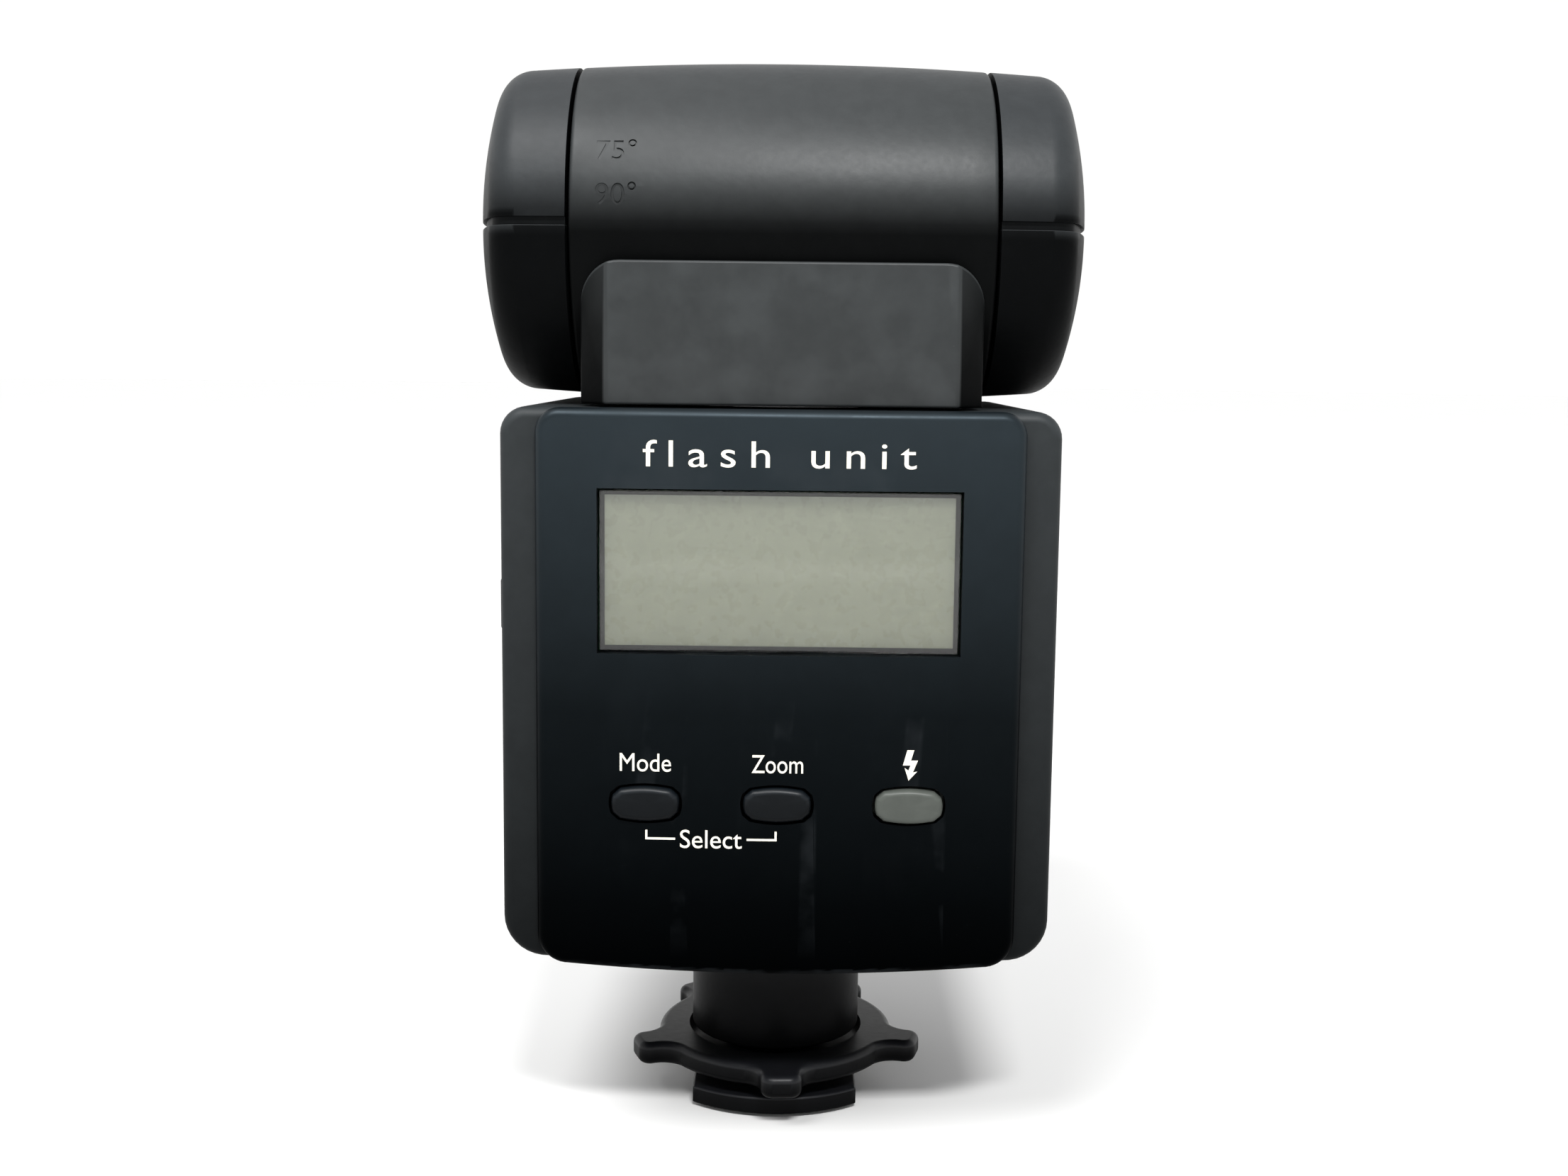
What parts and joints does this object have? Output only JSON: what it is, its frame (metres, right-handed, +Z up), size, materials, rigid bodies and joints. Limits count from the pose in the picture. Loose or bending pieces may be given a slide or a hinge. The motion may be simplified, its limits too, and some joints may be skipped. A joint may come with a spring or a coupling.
{
  "type": "speedlight flash",
  "caption": "Clip-on camera flash: a rear panel with display and keys, a swivel and tilt head, and a shoe foot with a locking wheel.",
  "frame": {"origin": "centre of the shoe plate's underside", "axes": "+Z up from the shoe, +Y the way the head points at rest, +X to the right seen from behind the flash"},
  "size_m": [0.0654, 0.0885, 0.1167],
  "materials": {
    "casing": "fine-grained dark grey moulded plastic",
    "panel": "satin black moulded plastic",
    "key_dark": "smooth black key",
    "key_grey": "translucent grey key",
    "rubber": "black rubber",
    "display": "grey-green liquid-crystal panel",
    "clear": "clear moulded window",
    "red_clear": "dark red window",
    "board": "green circuit board",
    "inner": "inner moulding",
    "steel": "plain steel",
    "brass": "bare brass",
    "mirror": "bright aluminium sheet",
    "cell": "printed cell sleeve, plain",
    "copper": "wound enamelled copper"
  },
  "bodies": {
    "root": {"assist_lamp": "clear", "assist_window": "red_clear", "battery_cell_1": "cell", "battery_cell_2": "cell", "battery_cell_3": "cell", "battery_cell_4": "cell", "battery_contacts_high": "steel", "battery_contacts_low": "steel", "battery_holder": "inner", "control_board": "board", "foot_plate": "casing", "foot_stem": "casing", "front_housing": "casing", "housing_screw_1": "steel", "housing_screw_2": "steel", "inverter_transformer": "inner", "keypad_sheet": "rubber", "lcd_module": "display", "lcd_window": "clear", "main_capacitor": "inner", "power_board": "board", "rear_cover": "panel", "rear_housing": "casing"},
    "neck": {"neck_rear_shell": "casing", "neck_front_shell": "casing", "swivel_hub": "steel", "retaining_ring": "steel", "tilt_axle": "steel"},
    "head": {"head_upper_shell": "casing", "head_lower_shell": "casing", "front_bezel": "casing", "fresnel_lens": "clear", "hinge_disc_left": "steel", "hinge_disc_right": "steel", "head_screw_1": "steel", "head_screw_2": "steel", "zoom_motor": "steel", "guide_rod": "steel", "trigger_coil": "copper"},
    "zoom": {"zoom_carriage": "inner", "reflector": "mirror", "flash_tube": "clear"},
    "leadscrew": {"zoom_leadscrew": "brass"},
    "mode_key": {"mode_button": "key_dark"},
    "zoom_key": {"zoom_button": "key_dark"},
    "test_key": {"test_button": "key_grey"},
    "switch": {"power_switch": "rubber"},
    "door": {"battery_door": "casing"},
    "latch": {"battery_latch": "rubber"},
    "clamp": {"clamp_ring": "casing"},
    "wheel": {"locking_wheel": "casing"},
    "contact_centre": {"centre_contact": "brass"},
    "contact_1": {"contact_pin_1": "brass"},
    "contact_2": {"contact_pin_2": "brass"},
    "contact_3": {"contact_pin_3": "brass"},
    "contact_4": {"contact_pin_4": "brass"}
  },
  "joints": [
    {"name": "swivel", "type": "hinge", "parent": "root", "child": "neck", "pos_m": [0, -0.0035, 0.0797], "axis": [0, 0, 1], "range_deg": [-90, 180]},
    {"name": "tilt", "type": "hinge", "parent": "neck", "child": "head", "pos_m": [0, -0.0035, 0.0981], "axis": [1, 0, 0], "range_deg": [0, 90]},
    {"name": "zoom_travel", "type": "slide", "parent": "head", "child": "zoom", "axis": [0, -1, 0], "range_m": [0, 0.018]},
    {"name": "leadscrew_turn", "type": "hinge", "parent": "head", "child": "leadscrew", "pos_m": [-0.024, 0.0464, 0.0891], "axis": [0, 1, 0], "range_deg": [0, 1080]},
    {"name": "mode_press", "type": "slide", "parent": "root", "child": "mode_key", "axis": [0, 1, 0], "range_m": [0, 0.0008], "stiffness_N_per_m": 300, "springref_m": -0.0005},
    {"name": "zoom_press", "type": "slide", "parent": "root", "child": "zoom_key", "axis": [0, 1, 0], "range_m": [0, 0.0008], "stiffness_N_per_m": 300, "springref_m": -0.0005},
    {"name": "test_press", "type": "slide", "parent": "root", "child": "test_key", "axis": [0, 1, 0], "range_m": [0, 0.0008], "stiffness_N_per_m": 300, "springref_m": -0.0005},
    {"name": "power_slide", "type": "slide", "parent": "root", "child": "switch", "axis": [0, 0, 1], "range_m": [0, 0.003]},
    {"name": "door_open", "type": "hinge", "parent": "root", "child": "door", "pos_m": [0.0288, 0.006, 0.0265], "axis": [0, 1, 0], "range_deg": [0, 100]},
    {"name": "latch_slide", "type": "slide", "parent": "door", "child": "latch", "axis": [0, 0, 1], "range_m": [0, 0.003]},
    {"name": "clamp_lift", "type": "slide", "parent": "root", "child": "clamp", "axis": [0, 0, 1], "range_m": [0, 0.0015]},
    {"name": "wheel_turn", "type": "hinge", "parent": "clamp", "child": "wheel", "pos_m": [0, 0, 0.0048], "axis": [0, 0, 1], "range_deg": [0, 540]},
    {"name": "centre_contact_press", "type": "slide", "parent": "root", "child": "contact_centre", "axis": [0, 0, 1], "range_m": [0, 0.0005], "stiffness_N_per_m": 300, "springref_m": -0.0005},
    {"name": "contact_press_1", "type": "slide", "parent": "root", "child": "contact_1", "axis": [0, 0, 1], "range_m": [0, 0.0005], "stiffness_N_per_m": 300, "springref_m": -0.0005},
    {"name": "contact_press_2", "type": "slide", "parent": "root", "child": "contact_2", "axis": [0, 0, 1], "range_m": [0, 0.0005], "stiffness_N_per_m": 300, "springref_m": -0.0005},
    {"name": "contact_press_3", "type": "slide", "parent": "root", "child": "contact_3", "axis": [0, 0, 1], "range_m": [0, 0.0005], "stiffness_N_per_m": 300, "springref_m": -0.0005},
    {"name": "contact_press_4", "type": "slide", "parent": "root", "child": "contact_4", "axis": [0, 0, 1], "range_m": [0, 0.0005], "stiffness_N_per_m": 300, "springref_m": -0.0005}
  ],
  "couplings": [
    {"joint": "leadscrew_turn", "follows": "zoom_travel", "rad_per_m": 1047.2},
    {"joint": "clamp_lift", "follows": "wheel_turn", "m_per_rad": 0.000159}
  ]
}
